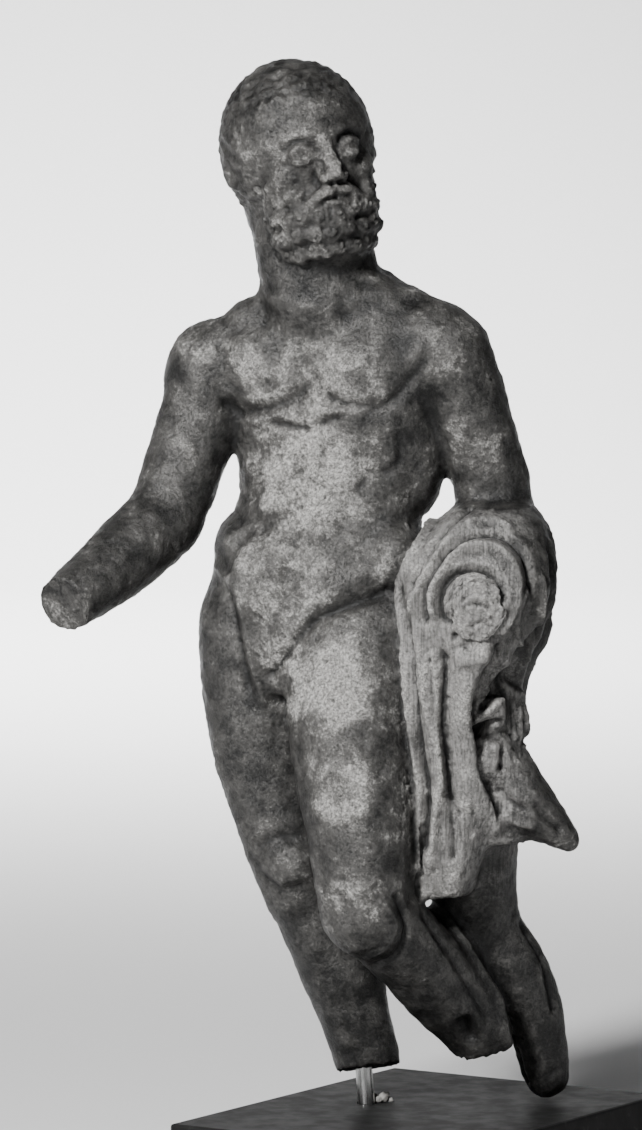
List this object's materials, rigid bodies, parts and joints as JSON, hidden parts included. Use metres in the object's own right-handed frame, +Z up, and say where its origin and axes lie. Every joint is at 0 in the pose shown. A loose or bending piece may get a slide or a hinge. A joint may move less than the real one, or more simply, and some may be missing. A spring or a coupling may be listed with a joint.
{
  "type": "bronze statuette",
  "caption": "Small aged bronze figure of a bearded Hercules with a lion skin over the left forearm, broken at hands and shins, on a steel pin and dark plate.",
  "frame": {"origin": "middle of the base plate's underside, where the part stands", "axes": "+Z up the figure, -Y towards the viewer in front of the figure, +X to that viewer's right"},
  "size_m": [0.1099, 0.0926, 0.199],
  "materials": {
    "aged_bronze": "dark corroded patina, worn to a dull sheen",
    "bright_steel": "bright drawn rod",
    "dark_plate": "dark satin paint"
  },
  "bodies": {
    "root": {"hercules_statuette": "aged_bronze", "mounting_pin": "bright_steel", "base_plate": "dark_plate"}
  },
  "joints": []
}
